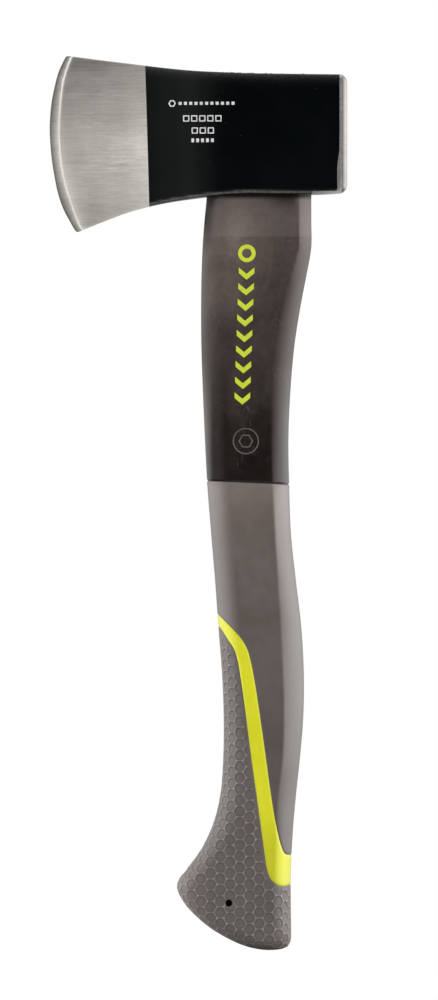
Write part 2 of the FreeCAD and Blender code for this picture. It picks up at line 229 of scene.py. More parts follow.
class Pillow:
    """Wraps a sheet round a rim: flat inside the crease loop, then over to the outline at Y = 0."""

    def __init__(self, crease, outline, profile_weight):
        """Takes two closed loops, and a function for the rim's shape, 0 to 1, along the crease."""
        area = np.sum(crease[:, 0] * np.roll(crease[:, 1], -1) - np.roll(crease[:, 0], -1) * crease[:, 1])
        loop = crease if area > 0 else crease[::-1]
        self.loop = np.vstack([loop, loop[:1]])
        d = np.diff(self.loop, axis=0)
        self.s = np.concatenate([[0.0], np.cumsum(np.linalg.norm(d, axis=1))])
        angle = np.unwrap(np.arctan2(d[:, 1], d[:, 0]))
        turn = 2 * math.pi * round((angle[-1] - angle[0]) / (2 * math.pi))
        ends = [(angle[-1] - turn + angle[0]) / 2, (angle[-1] + angle[0] + turn) / 2]
        self.angle = np.concatenate([ends[:1], (angle[:-1] + angle[1:]) / 2, ends[1:]])
        for _ in range(2):
            self.angle[1:-1] = (self.angle[:-2] + 2 * self.angle[1:-1] + self.angle[2:]) / 4
        self.bend = np.gradient(self.angle, self.s)
        normal = np.column_stack([np.sin(self.angle), -np.cos(self.angle)])
        self.reach = ray_to(outline, self.loop, normal)
        self.weight = profile_weight(self.loop)

    def foot(self, points):
        """Each point's place along the crease, distance from it (negative inside), and if it is outside."""
        _, gap, carried = nearest_on(self.loop, points, self.s[:, None])
        out = ~inside(self.loop[:-1], points)
        e = -gap
        s = carried[:, 0]
        p = points[out]
        at = s[out]
        for _ in range(6):
            x, z, angle = self.at(at)
            gap_x, gap_z = p[:, 0] - x, p[:, 1] - z
            along = gap_x * np.cos(angle) + gap_z * np.sin(angle)
            away = gap_x * np.sin(angle) - gap_z * np.cos(angle)
            bend = np.interp(at, self.s, self.bend)
            at = np.clip(at + np.clip(along / np.maximum(1 + bend * away, 0.3), -1.5, 1.5), 0, self.s[-1])
        x, z, angle = self.at(at)
        e[out] = np.maximum((p[:, 0] - x) * np.sin(angle) - (p[:, 1] - z) * np.cos(angle), 0)
        s[out] = at
        return s, e, out

    def at(self, s):
        """Place and direction of the crease at a length along it."""
        x, z = (np.interp(s, self.s, self.loop[:, k]) for k in (0, 1))
        return x, z, np.interp(s, self.s, self.angle)

    def half(self, points):
        """Half thickness of the flat panel; a kind of pillow gives its own."""
        raise NotImplementedError

    def rim(self, e, reach, half, weight):
        """Out (u) and deep (v) along the rim's profile after e mm, and the whole length of the profile."""
        t = np.linspace(0, 1, 41)
        u, v = self.profile(t[None, :], weight[:, None])
        u, v = u * reach[:, None], v * half[:, None]
        steps = np.hypot(np.diff(u, axis=1), np.diff(v, axis=1))
        run = np.concatenate([np.zeros((len(e), 1)), np.cumsum(steps, axis=1)], axis=1)
        k = np.clip((run < e[:, None]).sum(1) - 1, 0, len(t) - 2)
        rows = np.arange(len(e))
        share = np.clip((e - run[rows, k]) / np.maximum(steps[rows, k], 1e-9), 0, 1)
        at = t[k] + (t[1] - t[0]) * share
        u, v = self.profile(at, weight)
        return u * reach, v * half, run[:, -1]

    def profile(self, t, weight):
        """A rim profile in unit lengths: a round nose (weight 0) or a creased facet (weight 1)."""
        b1 = 3 * t * (1 - t) ** 2
        b2 = 3 * t * t * (1 - t)
        b3 = t ** 3
        b0 = (1 - t) ** 3
        u = b1 * (CIRCLE + (0.5 - CIRCLE) * weight) + b2 + b3
        v = b0 + b1 * (1 - 0.2 * weight) + b2 * (CIRCLE + (0.45 - CIRCLE) * weight)
        return u, v

    def place(self, points, chunk=20000):
        """3-D places (Y is 0 at the parting line, towards +Y elsewhere) and what is left of the rim."""
        s, e, out = self.foot(points)
        spots = np.column_stack([points[:, 0], self.half(points), points[:, 1]])
        left = np.full(len(points), FAR)
        index = np.flatnonzero(out)
        for i in range(0, len(index), chunk):
            part = index[i:i + chunk]
            x, z, angle = self.at(s[part])
            reach = np.interp(s[part], self.s, self.reach)
            weight = np.interp(s[part], self.s, self.weight)
            half = self.half(np.column_stack([x, z]))
            u, v, whole = self.rim(e[part], reach, half, weight)
            spots[part] = np.column_stack([x + np.sin(angle) * u, v, z - np.cos(angle) * u])
            left[part] = whole - e[part]
        return spots, left


def fan_triangles(faces):
    """Every face as a fan of triangles."""
    return np.array([(f[0], f[k], f[k + 1]) for f in faces for k in range(1, len(f) - 1)])


def sheet_normals(spots, faces, on_parting):
    """Outward vertex normals of the sheet on its +Y side."""
    tri = fan_triangles(faces)
    a, b, c = spots[tri[:, 0]], spots[tri[:, 1]], spots[tri[:, 2]]
    n = -np.cross(b - a, c - a)
    total = np.zeros_like(spots)
    for k in range(3):
        np.add.at(total, tri[:, k], n)
    total[on_parting, 1] = 0
    return total / np.maximum(np.linalg.norm(total, axis=1, keepdims=True), 1e-12)


def cut_sheet(pillow, sheet, cuts):
    """Trims a sheet to its parting line, then cuts it where each (field, label, keep_only) field is 0."""
    _, left = sheet.placed(pillow)
    sheet.split(left, "body", keep_only=True)
    for field, label, keep_only in cuts:
        sheet.placed(pillow)
        sheet.drop_unused()
        sheet.split(field(sheet.spots, sheet.points), label, keep_only)
    sheet.placed(pillow)
    sheet.drop_unused()
    return sheet.spots, sheet.left


def solid(name, sheet, spots, on_parting, materials, pick, attributes, sharp=True):
    """Mirrors a sheet to both sides, welds it at Y = 0 and closes its other borders straight across."""
    kept = [k for k, f in enumerate(sheet.faces) if not on_parting[f].all()]
    sheet.faces = [sheet.faces[k] for k in kept]
    sheet.labels = [sheet.labels[k] for k in kept]
    count = len(spots)
    near = spots * [1, -1, 1]
    near[on_parting, 1] = 0
    far = near * [1, -1, 1]
    twin = np.arange(count)
    keep = np.flatnonzero(~on_parting)
    twin[keep] = count + np.arange(len(keep))
    verts = np.vstack([near, far[keep]]) * MM
    faces = [list(f) for f in sheet.faces]
    border = {}
    for f in sheet.faces:
        for a, b in zip(f, f[1:] + f[:1]):
            if border.pop((b, a), None) is None:
                border[(a, b)] = True
    far_faces = [[int(twin[v]) for v in reversed(f)] for f in sheet.faces]
    walls = []
    for a, b in border:
        if on_parting[a] and on_parting[b]:
            continue
        ring = [b, a, int(twin[a]), int(twin[b])]
        ring = [v for k, v in enumerate(ring) if v != ring[k - 1]]
        if len(ring) > 2:
            walls.append(ring)
    mesh = bpy.data.meshes.new(name)
    mesh.from_pydata(verts.tolist(), [], faces + far_faces + walls)
    slots = [pick(label) for label in sheet.labels]
    slots = slots + slots + [pick(frozenset(["wall"]))] * len(walls)
    for material in materials:
        mesh.materials.append(material)
    mesh.polygons.foreach_set("material_index", slots)
    mesh.polygons.foreach_set("use_smooth", [True] * len(mesh.polygons))
    for key, values in attributes.items():
        layer = mesh.attributes.new(key, "FLOAT", "POINT")
        layer.data.foreach_set("value", np.concatenate([values, values[keep]]).astype(np.float32))
    if sharp:
        mark_sharp(mesh, len(faces) * 2)
    mesh.validate()
    return placed_object(name, mesh)


def placed_object(name, mesh):
    """A new object of the scene."""
    obj = bpy.data.objects.new(name, mesh)
    bpy.context.scene.collection.objects.link(obj)
    return obj


def made_object(name, bm, material):
    """The scene's new object from a finished bmesh."""
    mesh = bpy.data.meshes.new(name)
    bm.to_mesh(mesh)
    bm.free()
    mesh.materials.append(material)
    return placed_object(name, mesh)


def mark_sharp(mesh, skin_faces, angle=0.6):
    """Sharp edges where a wall meets the skin, and where the skin itself turns by more than the angle."""
    bm = bmesh.new()
    bm.from_mesh(mesh)
    bm.faces.ensure_lookup_table()
    for edge in bm.edges:
        if len(edge.link_faces) != 2:
            continue
        walls = [f.index >= skin_faces for f in edge.link_faces]
        if walls[0] != walls[1] or edge.calc_face_angle(0) > angle:
            edge.smooth = False
    bm.to_mesh(mesh)
    bm.free()

# ---------------------------------------------------------------- the handle's shape

# z, front x, back x, half thickness, length of the front nose, length of the back facet, its crispness
STATIONS = [
    (30.0, -20.6, 20.8, 11.4, 8.0, 5.0, 1.0),
    (12.0, -20.6, 20.8, 11.4, 8.0, 5.0, 1.0),
    (0.0, -20.8, 20.8, 11.4, 8.0, 5.0, 1.0),
    (-11.0, -21.8, 20.8, 11.5, 8.0, 5.0, 1.0),
    (-21.0, -22.5, 20.8, 11.5, 8.3, 5.1, 0.9),
    (-31.0, -22.9, 19.1, 11.5, 8.7, 6.1, 0.5),
    (-44.0, -23.1, 16.6, 11.4, 9.0, 7.2, 0.3),
    (-60.0, -23.0, 14.1, 11.2, 9.0, 7.6, 0.3),
    (-78.0, -22.4, 12.5, 11.0, 9.0, 7.6, 0.3),
    (-97.0, -21.6, 11.7, 10.9, 9.0, 7.0, 0.5),
    (-116.0, -20.6, 12.0, 11.0, 9.5, 6.7, 0.75),
    (-135.0, -19.1, 12.7, 11.2, 9.5, 6.4, 1.0),
    (-154.0, -17.5, 14.7, 11.5, 9.5, 7.3, 0.8),
    (-172.0, -16.2, 16.8, 11.8, 9.5, 8.3, 0.8),
    (-190.0, -14.8, 17.8, 12.1, 9.5, 8.4, 1.0),
    (-208.0, -14.1, 17.6, 12.4, 9.5, 7.8, 1.0),
    (-225.0, -14.3, 16.2, 12.7, 9.5, 7.0, 0.9),
    (-239.0, -15.4, 14.7, 12.9, 9.5, 7.2, 0.7),
    (-250.0, -18.1, 13.7, 13.0, 9.5, 7.0, 0.45),
]
FRONT_END = [(-20.3, -255.4), (-22.1, -259.0), (-24.8, -263.3), (-28.3, -268.0), (-31.3, -271.8)]
BUTT = [
    (-32.5, -273.8), (-32.75, -275.4), (-32.2, -277.6), (-29.5, -282.4), (-25.2, -287.1), (-19.5, -291.9),
    (-11.3, -296.7), (-5.6, -299.1), (0.0, -300.4), (4.0, -300.7), (8.6, -300.35), (10.9, -299.6),
    (12.2, -298.2), (12.7, -296.0), (12.75, -292.0), (12.65, -284.0), (12.6, -275.0), (12.7, -267.0),
    (13.1, -259.0),
]
CREASE_BUTT = [
    (-12.6, -259.0), (-15.6, -263.3), (-19.4, -268.0), (-23.2, -272.2), (-25.2, -274.9), (-25.5, -277.0),
    (-24.2, -280.0), (-21.0, -283.9), (-16.2, -287.9), (-9.2, -291.9), (-4.0, -294.0), (0.4, -295.3),
    (3.4, -295.4), (5.4, -294.2), (6.2, -291.6), (6.3, -288.0), (6.2, -280.0), (6.2, -267.0), (6.5, -259.0),
]
SEAM_ENDS = [(-20.7, -114.0), (12.0, -115.4)]
BAND_UPPER = [
    (-60.0, -124.0), (-24.0, -160.0), (-16.4, -167.3), (-11.3, -172.2), (-7.2, -176.7), (-4.7, -181.0),
    (-3.1, -187.0), (-1.1, -198.0), (0.6, -209.5), (2.3, -221.5), (4.0, -234.0), (5.9, -246.5),
    (7.3, -253.3), (8.8, -258.9), (10.4, -262.2), (13.0, -262.8), (60.0, -262.8),
]
BAND_LOWER = [
    (-60.0, -128.0), (-23.5, -164.5), (-16.1, -171.8), (-12.7, -176.8), (-10.0, -181.0), (-8.6, -185.5),
    (-7.6, -191.0), (-5.5, -205.5), (-3.0, -225.0), (-0.7, -241.3), (1.2, -255.3), (2.2, -262.5),
    (3.0, -267.7), (4.6, -272.1), (7.2, -274.3), (9.95, -275.0), (12.7, -274.5), (60.0, -274.0),
]
HOLE = (-12.06, -281.7)
HOLE_RADIUS = 1.38
HEX_COLUMN = 3.87
HEX_ROW = 4.46


def along_height(points):
    """The first coordinate of a line through (value, z) points, as a function of z."""
    line = smooth_line(points, 0.5)
    line = line[np.argsort(line[:, 1])]
    return lambda z: np.interp(z, line[:, 1], line[:, 0])


def station(column):
    """One column of the stations as a function of z."""
    return along_height([(row[column], row[0]) for row in STATIONS])


def handle_outline():
    """The handle's silhouette: down the front, round the butt and up the back."""
    front = [(row[1], row[0]) for row in STATIONS] + FRONT_END
    back = [(row[2], row[0]) for row in STATIONS]
    return smooth_line(front + BUTT + back[::-1], 0.6)


def handle_crease():
    """The edge of the handle's flat panel, the same way round."""
    front = [(row[1] + row[4], row[0]) for row in STATIONS]
    back = [(row[2] - row[5], row[0]) for row in STATIONS]
    front[0] = (front[0][0], 20.0)
    back[0] = (back[0][0], 20.0)
    return smooth_line(front + CREASE_BUTT + back[::-1], 0.8)


half_thickness = station(3)
crease_crispness = station(6)


class Handle(Pillow):
    """The handle's skin; the thickness of its flat panel follows the height."""

    def half(self, points):
        return half_thickness(points[:, 1])


def crispness(loop):
    """How creased the rim is: only behind, and fading round the butt's bottom corner."""
    z = loop[:, 1]
    behind = np.clip(loop[:, 0] / 5.0, 0, 1)
    behind = np.where(z < -286, behind * np.clip((z + 294) / 8, 0, 1), behind)
    return crease_crispness(z) * behind


HANDLE = Handle(handle_crease(), handle_outline(), crispness)
UPPER_LINE = smooth_line(BAND_UPPER, 0.6)
LOWER_LINE = smooth_line(BAND_LOWER, 0.6)


def side_of(line, spots):
    """Signed distance to a line in X and Z: positive above and behind it."""
    p = spots[:, [0, 2]]
    a, b = line[:-1], line[1:]
    near, gap, carried = nearest_on(line, p, np.arange(len(line), dtype=float)[:, None])
    k = np.clip(carried[:, 0].astype(int), 0, len(a) - 1)
    d = (b - a)[k]
    off = p - near
    return np.where(d[:, 0] * off[:, 1] - d[:, 1] * off[:, 0] >= 0, gap, -gap)


def below_seam(spots):
    (x0, z0), (x1, z1) = SEAM_ENDS
    return z0 + (z1 - z0) * (spots[:, 0] - x0) / (x1 - x0) - spots[:, 2]


def above_upper(spots):
    return side_of(UPPER_LINE, spots)


def above_lower(spots):
    return side_of(LOWER_LINE, spots)


def below_top(spots):
    return 0.6 - spots[:, 2]


def outside_hole(spots):
    return np.hypot(spots[:, 0] - HOLE[0], spots[:, 2] - HOLE[1]) - HOLE_RADIUS


def offset(field, amount, sign):
    """A cut that is positive more than amount mm inside the border sign * field = 0."""
    return lambda spots, points: sign * field(spots) - amount


def smoothstep(value, low, high):
    """0 below low, 1 above high, with a soft step between."""
    t = np.clip((value - low) / (high - low), 0, 1)
    return t * t * (3 - 2 * t)


def lip(d, drop, width, swell=0.0, swell_at=0.8):
    """A rounded edge: drops towards d = 0, with a slight swell behind."""
    return -drop * np.exp(-((d / width) ** 2)) + swell * np.exp(-(((d - swell_at) / 0.5) ** 2))


def handle_piece(name, node, material, low, high, step, borders, relief, attributes):
    """A part of the handle's skin, in place of a CAD node.

    Each border is (field, sign, rows): the piece is kept where sign * field is positive, and gets extra
    rows of points that many mm inside it.
    """
    cuts = [(offset(field, 0.0, sign), "body", True) for field, sign, rows in borders]
    for field, sign, rows in borders:
        cuts += [(offset(field, row, sign), "body", False) for row in rows]
    sheet = Sheet(low, high, step)
    spots, left = cut_sheet(HANDLE, sheet, cuts)
    on_parting = left < ON_PARTING
    height = relief(sheet.points, spots, left)
    spots = spots + sheet_normals(spots, sheet.faces, on_parting) * height[:, None]
    spots[on_parting, 1] = 0
    values = attributes(sheet.points, spots, left)
    obj = solid(name, sheet, spots, on_parting, [material], lambda label: 0, values)
    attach(obj, "root")
    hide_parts(node)
    return obj


# ---------------------------------------------------------------- materials


class Nodes:
    """A short way to fill the node tree of a material or a world."""

    def __init__(self, owner):
        owner.use_nodes = True
        self.tree = owner.node_tree
        self.tree.nodes.clear()

    def make(self, kind, inputs=None, **settings):
        node = self.tree.nodes.new(kind)
        for key, value in settings.items():
            setattr(node, key, value)
        for key, value in (inputs or {}).items():
            self.feed(node.inputs[key], value)
        return node

    def feed(self, socket, value):
        if isinstance(value, bpy.types.NodeSocket):
            self.tree.links.new(value, socket)
        elif socket.type == "RGBA" and len(value) == 3:
            socket.default_value = (*value, 1.0)
        else:
            socket.default_value = value

    def math(self, operation, a, b=0.0):
        return self.make("ShaderNodeMath", {0: a, 1: b}, operation=operation).outputs[0]

    def plus(self, a, b):
        return self.math("ADD", a, b)

    def minus(self, a, b):
        return self.math("SUBTRACT", a, b)

    def times(self, a, b):
        return self.math("MULTIPLY", a, b)

    def weighted(self, *parts):
        """The sum of (value, weight) parts."""
        total = self.times(*parts[0])
        for part in parts[1:]:
            total = self.plus(total, self.times(*part))
        return total


class Graph(Nodes):
    """A procedural material, driven by the object's own coordinates."""

    def __init__(self, name):
        self.material = bpy.data.materials.new(name)
        super().__init__(self.material)
        self.object = self.make("ShaderNodeTexCoord").outputs["Object"]

    def stretched(self, scale, turn=(0.0, 0.0, 0.0)):
        """Object coordinates times a scale on each axis."""
        inputs = {"Vector": self.object, "Scale": scale, "Rotation": turn}
        return self.make("ShaderNodeMapping", inputs).outputs[0]

    def noise(self, size, detail=3.0, rough=0.5, vector=None, distort=0.0):
        """Noise with features about size mm across."""
        node = self.make("ShaderNodeTexNoise", {
            "Vector": self.object if vector is None else vector, "Scale": 1000.0 / size,
            "Detail": detail, "Roughness": rough, "Distortion": distort})
        return node.outputs["Fac"]

    def cells(self, size, vector=None):
        """Distance from the nearest of many scattered points, about size mm apart."""
        node = self.make("ShaderNodeTexVoronoi", {
            "Vector": self.object if vector is None else vector, "Scale": 1000.0 / size}, feature="F1")
        return node.outputs["Distance"]

    def steps(self, value, low, high, out_low=0.0, out_high=1.0):
        node = self.make("ShaderNodeMapRange", {
            "Value": value, "From Min": low, "From Max": high, "To Min": out_low, "To Max": out_high})
        return node.outputs[0]

    def shades(self, value, stops):
        """A grey level by value, from (value, level) stops in rising order."""
        low, high = stops[0][0], stops[-1][0]
        ramp = self.make("ShaderNodeValToRGB", {0: self.steps(value, low, high)})
        ramp.color_ramp.interpolation = "EASE"
        points = ramp.color_ramp.elements
        for _ in range(len(stops) - 2):
            points.new(0.5)
        for point, (at, _) in zip(points, stops):
            point.position = (at - low) / (high - low)
        for point, (_, level) in zip(points, stops):
            point.color = (level, level, level, 1.0)
        return ramp.outputs[0]

    def mix(self, share, a, b, blend="MIX"):
        node = self.make("ShaderNodeMix", data_type="RGBA", blend_type=blend)
        self.feed(node.inputs[0], share)
        self.feed(node.inputs[6], a)
        self.feed(node.inputs[7], b)
        return node.outputs[2]

    def shaded(self, colour, shade):
        return self.mix(1.0, colour, shade, "MULTIPLY")

    def axis(self, k):
        """X (k = 0) or height (k = 2) in the frame, in mm."""
        return self.times(self.make("ShaderNodeSeparateXYZ", {0: self.object}).outputs[k], 1000.0)

    def value(self, name):
        return self.make("ShaderNodeAttribute", attribute_name=name).outputs["Fac"]

    def spot(self, x, z, wide, high):
        """1 at a place in the X, Z plane, fading over wide and high mm."""
        a = self.math("DIVIDE", self.minus(self.axis(0), x), wide)
        b = self.math("DIVIDE", self.minus(self.axis(2), z), high)
        far = self.plus(self.times(a, a), self.times(b, b))
        return self.math("EXPONENT", self.times(far, -1.0))

    def dust(self, apart, core, rim, patch, some, more):
        """Specks apart mm from each other, kept only in patches of noise patch mm across."""
        specks = self.steps(self.cells(apart), core, rim, 1.0, 0.0)
        return self.times(specks, self.steps(self.noise(patch, 1.0), some, more))

    def hairlines(self, noise, width):
        """Thin lines where a noise crosses its middle."""
        return self.steps(self.math("ABSOLUTE", self.minus(noise, 0.5)), 0.0, width, 1.0, 0.0)

    def bump(self, height, distance, strength):
        return self.make("ShaderNodeBump", {
            "Height": height, "Distance": distance * MM, "Strength": strength}).outputs[0]

    def finish(self, **inputs):
        shader = self.make("ShaderNodeBsdfPrincipled")
        for key, value in inputs.items():
            self.feed(shader.inputs[key.replace("_", " ")], value)
        self.make("ShaderNodeOutputMaterial", {"Surface": shader.outputs[0]})
        return self.material


def steel(name, dark, bright, rough, by_height, by_length):
    """Satin steel, ground along X, with a fine grain and faint stains; painted light and shade by height and
    along X, a painted dark bevel facet and a painted bright line at the bevel.
    """
    g = Graph(name)
    fine = g.noise(1.0, 2.0, 0.65, g.stretched((0.10, 1.0, 4.2)))
    broad = g.noise(1.0, 3.0, 0.6, g.stretched((0.03, 0.3, 1.3)))
    speck = g.noise(0.55, 1.0, 0.5)
    cloud = g.noise(14.0, 4.0, 0.6)
    grain = g.weighted((fine, 0.5), (broad, 0.3), (speck, 0.2))
    colour = g.mix(g.steps(grain, 0.34, 0.66), dark, bright)
    colour = g.mix(g.steps(cloud, 0.35, 0.7, 0.0, 0.35), colour, tuple(c * 0.8 for c in dark))
    # painted light and shade: the colour is darkened or lightened by height and along X
    colour = g.shaded(colour, g.shaded(g.shades(g.axis(2), by_height), g.shades(g.axis(0), by_length)))
    # painted shade: the ground bevel facet darkened nearly to black
    colour = g.mix(g.times(g.value("facet"), 0.86), colour, (0.04, 0.038, 0.036))
    # painted highlight: a bright line along the bevel's inner line, with a glow on the blade side
    colour = g.mix(g.times(g.value("bevel_highlight"), 0.85), colour, (1.0, 0.97, 0.92))
    roughness = g.steps(grain, 0.3, 0.7, rough - 0.06, rough + 0.08)
    return g.finish(Base_Color=colour, Metallic=0.8, Roughness=roughness, Normal=g.bump(grain, 0.04, 0.35))


def enamel():
    """Black enamel over forged steel: faint orange peel, dust specks and hairline scratches."""
    g = Graph("black_enamel")
    peel = g.noise(2.4, 2.0, 0.5)
    cloud = g.noise(28.0, 3.0, 0.6)
    dust = g.dust(1.5, 0.0, 0.16, 3.1, 0.66, 0.7)
    scratch = g.hairlines(g.noise(1.0, 1.0, 0.5, g.stretched((0.12, 1.0, 2.6), (0.0, 0.35, 0.0))), 0.004)
    scratch = g.times(scratch, g.steps(g.noise(9.0, 1.0), 0.56, 0.7))
    marks = g.math("MAXIMUM", g.times(dust, 0.5), g.times(scratch, 0.12))
    colour = g.mix(g.steps(cloud, 0.3, 0.7), (0.0010, 0.0018, 0.0020), (0.0022, 0.0030, 0.0032))
    colour = g.mix(marks, colour, (0.12, 0.115, 0.11))
    # painted sheen and dust: a pale band below the top edge, and a painted highlight in a thin line along the
    # lower rounding
    wear = g.times(g.value("rim_sheen_and_dust"), g.steps(g.noise(1.4, 3.0, 0.7), 0.3, 0.65, 0.35, 1.0))
    colour = g.mix(wear, colour, (0.13, 0.125, 0.12))
    roughness = g.steps(cloud, 0.3, 0.7, 0.16, 0.24)
    normal = g.bump(peel, 0.01, 0.15)
    return g.finish(Base_Color=colour, Roughness=roughness, Specular_IOR_Level=0.14, Normal=normal)


def moulded(name, dark, light, rough, grain, peel, by_height=None, by_length=None, ridge=None, edge=0.0):
    """Moulded polymer: cloudy colour, a fine mould texture and dusty patches; light and shade are painted in
    by height, along X, towards the parting line and on the ridges.
    """
    g = Graph(name)
    cloud = g.noise(34.0, 4.0, 0.62, distort=0.6)
    mottle = g.noise(5.0, 3.0, 0.6)
    fine = g.noise(grain, 2.0, 0.6)
    tone = g.weighted((cloud, 0.62), (mottle, 0.38))
    colour = g.mix(g.steps(tone, 0.36, 0.64), dark, light)
    # painted light and shade by height and along X
    for axis, stops in ((2, by_height), (0, by_length)):
        if stops:
            colour = g.shaded(colour, g.shades(g.axis(axis), stops))
    # painted shade: darker towards the parting line, where the rim turns away from the light
    colour = g.mix(g.times(g.value("edge"), edge), colour, (0.0, 0.0, 0.0))
    if ridge:
        # painted highlight and wear: the crests paler; the foot of each ridge painted darker, a painted shade
        crest_wear_and_highlight = g.times(g.value("ridge"), g.steps(g.noise(1.6, 2.0, 0.6), 0.35, 0.62, 0.15, 1.0))
        colour = g.mix(g.value("groove"), colour, tuple(c * 0.62 for c in dark))
        colour = g.mix(crest_wear_and_highlight, colour, ridge)
    dust = g.dust(1.9, 0.02, 0.11, 4.0, 0.64, 0.68)
    colour = g.mix(g.times(dust, 0.35), colour, (0.42, 0.40, 0.38))
    roughness = g.steps(tone, 0.36, 0.64, rough - 0.04, rough + 0.06)
    normal = g.bump(fine, 0.03, peel)
    return g.finish(Base_Color=colour, Roughness=roughness, Specular_IOR_Level=0.4, Normal=normal)


def jacket_material():
    """Dark moulded plastic: swirly and duller towards the head, with a lighter band above a step line; light
    and shade are painted in: paler towards the head, nearly black above the seam, dark on the front nose and
    at the rims, and shadows under the head.
    """
    g = Graph("dark_nylon")
    x, height = g.axis(0), g.axis(2)
    cloud = g.noise(17.0, 5.0, 0.66, g.stretched((1.0, 1.0, 0.55)), distort=1.4)
    mottle = g.noise(3.0, 4.0, 0.7)
    fine = g.noise(0.5, 2.0, 0.6)
    tone = g.weighted((cloud, 0.6), (mottle, 0.4))
    colour = g.mix(g.steps(tone, 0.34, 0.66), (0.048, 0.037, 0.032), (0.082, 0.066, 0.058))
    # painted light and shade: paler towards the head and front, nearly black low down, along a slant broken
    # by the swirl
    slant = g.plus(g.minus(height, g.times(x, 0.75)), g.times(g.minus(cloud, 0.5), 26.0))
    colour = g.shaded(colour, g.shades(slant, JACKET_BY_SLANT))
    colour = g.mix(g.steps(height, -17.3, -16.6, 0.0, 0.22), colour, (0.15, 0.13, 0.125))
    # painted shade: darker across the front nose, with a lighter front edge, from -62 mm height downwards
    sides = g.shades(x, [(-22.0, 1.3), (-20.0, 1.0), (-18.2, 0.45), (-14.0, 0.6), (-10.5, 1.0)])
    sides = g.mix(g.steps(height, -92.0, -62.0), sides, (1.0, 1.0, 1.0))
    colour = g.shaded(colour, sides)
    # a paler patch a little below the head, towards the front
    pale_patch = g.plus(g.times(g.spot(-9.0, -19.0, 7.0, 15.0), 0.75), 1.0)
    # painted shade at the front top corner, below the head; it also dims the gloss
    front_top_shade = g.minus(1.0, g.times(g.spot(-22.0, -8.0, 3.4, 13.0), 0.9))
    colour = g.shaded(colour, g.times(pale_patch, front_top_shade))
    # painted shade: darker towards the parting line
    colour = g.mix(g.times(g.value("edge"), 0.45), colour, (0.0, 0.0, 0.0))
    # painted contact shadows under the head, at its back and front corners
    back_corner_shadow = g.times(g.spot(10.5, 0.0, 9.0, 5.2), g.steps(x, 13.6, 15.6, 0.94, 0.0))
    front_corner_shadow = g.times(g.spot(-21.0, -1.0, 4.6, 3.6), 0.95)
    colour = g.mix(g.math("MAXIMUM", back_corner_shadow, front_corner_shadow), colour, (0.006, 0.005, 0.005))
    # painted shadow: nearly black right under the head; it also dims the gloss
    shadow_under_head = g.steps(g.plus(height, mottle), -1.9, -0.3, 0.0, 0.96)
    colour = g.mix(shadow_under_head, colour, (0.004, 0.0035, 0.0035))
    dust = g.dust(1.7, 0.02, 0.09, 4.0, 0.62, 0.67)
    scuff = g.hairlines(g.noise(1.0, 1.0, 0.5, g.stretched((0.5, 1.0, 0.16), (0.0, 0.5, 0.0))), 0.005)
    scuff = g.times(scuff, g.steps(g.noise(12.0, 1.0), 0.55, 0.68))
    colour = g.mix(g.math("MAXIMUM", g.times(dust, 0.6), g.times(scuff, 0.3)), colour, (0.36, 0.33, 0.32))
    gloss = g.times(g.steps(shadow_under_head, 0.0, 0.9, 0.20, 0.05), g.times(front_top_shade, sides))
    gloss = g.times(gloss, g.shades(x, [(-22.0, 0.6), (-19.0, 0.5), (-13.0, 1.0)]))
    roughness = g.plus(g.steps(height, -92.0, -66.0, 0.20, 0.44), g.steps(tone, 0.34, 0.66, -0.03, 0.08))
    return g.finish(
        Base_Color=colour, Roughness=roughness, Specular_IOR_Level=gloss, Specular_Tint=(1.0, 0.86, 0.87),
        Normal=g.bump(fine, 0.03, 0.3))


def glass_rod_material():
    """The cut end of the fibreglass rod: pale resin with packed strands."""
    g = Graph("fibreglass")
    strands = g.cells(0.45, vector=g.stretched((1.0, 1.0, 0.03)))
    colour = g.mix(g.steps(strands, 0.1, 0.6), (0.62, 0.60, 0.42), (0.36, 0.34, 0.20))
    roughness = g.steps(strands, 0.0, 0.6, 0.35, 0.6)
    return g.finish(Base_Color=colour, Roughness=roughness, Normal=g.bump(strands, 0.05, 0.5))


def resin_material():
    """Cured epoxy: dark amber grey with bubbles and dust."""
    g = Graph("epoxy")
    bubbles = g.steps(g.cells(1.3), 0.05, 0.22, 1.0, 0.0)
    cloud = g.noise(6.0, 3.0, 0.6)
    colour = g.mix(g.steps(cloud, 0.35, 0.65), (0.10, 0.085, 0.06), (0.24, 0.21, 0.16))
    colour = g.mix(g.times(bubbles, 0.4), colour, (0.5, 0.47, 0.40))
    roughness = g.steps(cloud, 0.3, 0.7, 0.18, 0.42)
    return g.finish(Base_Color=colour, Roughness=roughness, Normal=g.bump(cloud, 0.4, 0.5))


def print_material(name, colour, wear):
    """Pad-printed ink, thinned a little by wear."""
    g = Graph(name)
    tone = g.noise(2.0, 3.0, 0.6)
    thin = g.mix(g.steps(tone, 0.3, 0.7), colour, tuple(c * wear for c in colour))
    roughness = g.steps(tone, 0.3, 0.7, 0.42, 0.56)
    return g.finish(Base_Color=thin, Roughness=roughness, Normal=g.bump(tone, 0.02, 0.2))


# (mm along X or height, grey level) stops that paint light and shade into a material's colour
BLADE_BY_HEIGHT = [(-18, 0.60), (-8, 0.84), (4, 0.95), (20, 1.0), (34, 0.80), (44, 0.64), (56, 0.44)]
BLADE_BY_LENGTH = [(-84, 0.92), (-76, 0.86), (-66, 0.82), (-56, 0.90), (-49, 1.0), (-44, 1.0)]
POLL_BY_HEIGHT = [(-20, 1.0), (60, 1.0)]
# painted reflection: light and dark bands across the poll's rounding
POLL_BY_LENGTH = [(20, 0.5), (32.1, 1.0), (32.6, 0.8), (33.1, 0.26), (33.6, 0.30), (34.2, 0.38), (35.2, 0.42)]
